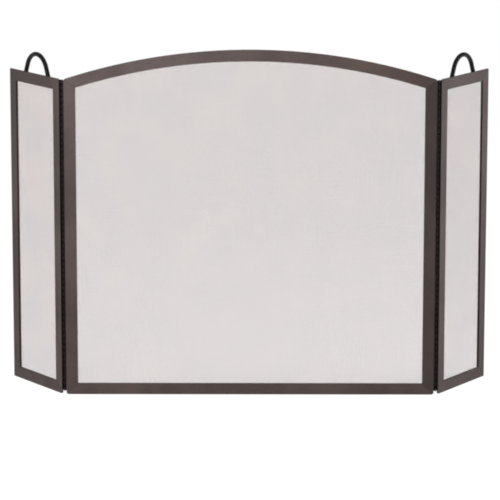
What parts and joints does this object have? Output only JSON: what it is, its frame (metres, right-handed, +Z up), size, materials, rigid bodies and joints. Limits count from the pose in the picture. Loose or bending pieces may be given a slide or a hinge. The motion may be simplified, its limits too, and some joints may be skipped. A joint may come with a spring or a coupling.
{
  "type": "fireplace screen",
  "caption": "Folding fireplace screen: arched centre panel and two narrow wings of mitred flat bar with woven wire mesh, full-height piano hinges and bow handles on the wings.",
  "frame": {"origin": "centre of the underside of the centre panel's bottom rail, in the middle of its length and of its thickness, where it stands on the hearth", "axes": "+X to the right along the centre panel, +Y to the back, where the wings are folded to, +Z up"},
  "size_m": [1.0563, 0.178, 0.7619],
  "materials": {
    "frame_paint": "fine-textured dark bronze powder coat",
    "retainer_paint": "fine-textured dark bronze powder coat",
    "hinge_paint": "dark satin paint, rubbed at the knuckles",
    "handle_paint": "smooth satin black-bronze paint",
    "woven_wire": "thin matt bronze-brown paint on drawn wire",
    "screw_black_oxide": "black oxide",
    "hinge_pin_steel": "drawn steel"
  },
  "bodies": {
    "centre_panel": {"centre_arch_rail": "frame_paint", "centre_arch_retainer": "retainer_paint", "centre_bottom_rail": "frame_paint", "centre_bottom_retainer": "retainer_paint", "centre_left_retainer": "retainer_paint", "centre_left_stile": "frame_paint", "centre_mesh": "woven_wire", "centre_retainer_screws": "screw_black_oxide", "centre_right_retainer": "retainer_paint", "centre_right_stile": "frame_paint", "left_hinge_centre_leaf": "hinge_paint", "left_hinge_centre_screws": "screw_black_oxide", "left_hinge_pin": "hinge_pin_steel", "right_hinge_centre_leaf": "hinge_paint", "right_hinge_centre_screws": "screw_black_oxide", "right_hinge_pin": "hinge_pin_steel"},
    "left_wing": {"left_hinge_wing_leaf": "hinge_paint", "left_hinge_wing_screws": "screw_black_oxide", "left_wing_bottom_rail": "frame_paint", "left_wing_bottom_retainer": "retainer_paint", "left_wing_handle": "handle_paint", "left_wing_inner_retainer": "retainer_paint", "left_wing_inner_stile": "frame_paint", "left_wing_mesh": "woven_wire", "left_wing_outer_retainer": "retainer_paint", "left_wing_outer_stile": "frame_paint", "left_wing_retainer_screws": "screw_black_oxide", "left_wing_top_rail": "frame_paint", "left_wing_top_retainer": "retainer_paint"},
    "right_wing": {"right_hinge_wing_leaf": "hinge_paint", "right_hinge_wing_screws": "screw_black_oxide", "right_wing_bottom_rail": "frame_paint", "right_wing_bottom_retainer": "retainer_paint", "right_wing_handle": "handle_paint", "right_wing_inner_retainer": "retainer_paint", "right_wing_inner_stile": "frame_paint", "right_wing_mesh": "woven_wire", "right_wing_outer_retainer": "retainer_paint", "right_wing_outer_stile": "frame_paint", "right_wing_retainer_screws": "screw_black_oxide", "right_wing_top_rail": "frame_paint", "right_wing_top_retainer": "retainer_paint"}
  },
  "joints": [
    {"name": "left_wing_fold", "type": "hinge", "parent": "centre_panel", "child": "left_wing", "pos_m": [-0.4067, 0.0028, 0.3515], "axis": [0, 0, -1], "range_deg": [-137.8, 101.2]},
    {"name": "right_wing_fold", "type": "hinge", "parent": "centre_panel", "child": "right_wing", "pos_m": [0.4067, 0.0028, 0.3515], "axis": [0, 0, 1], "range_deg": [-139.5, 99.5]}
  ]
}
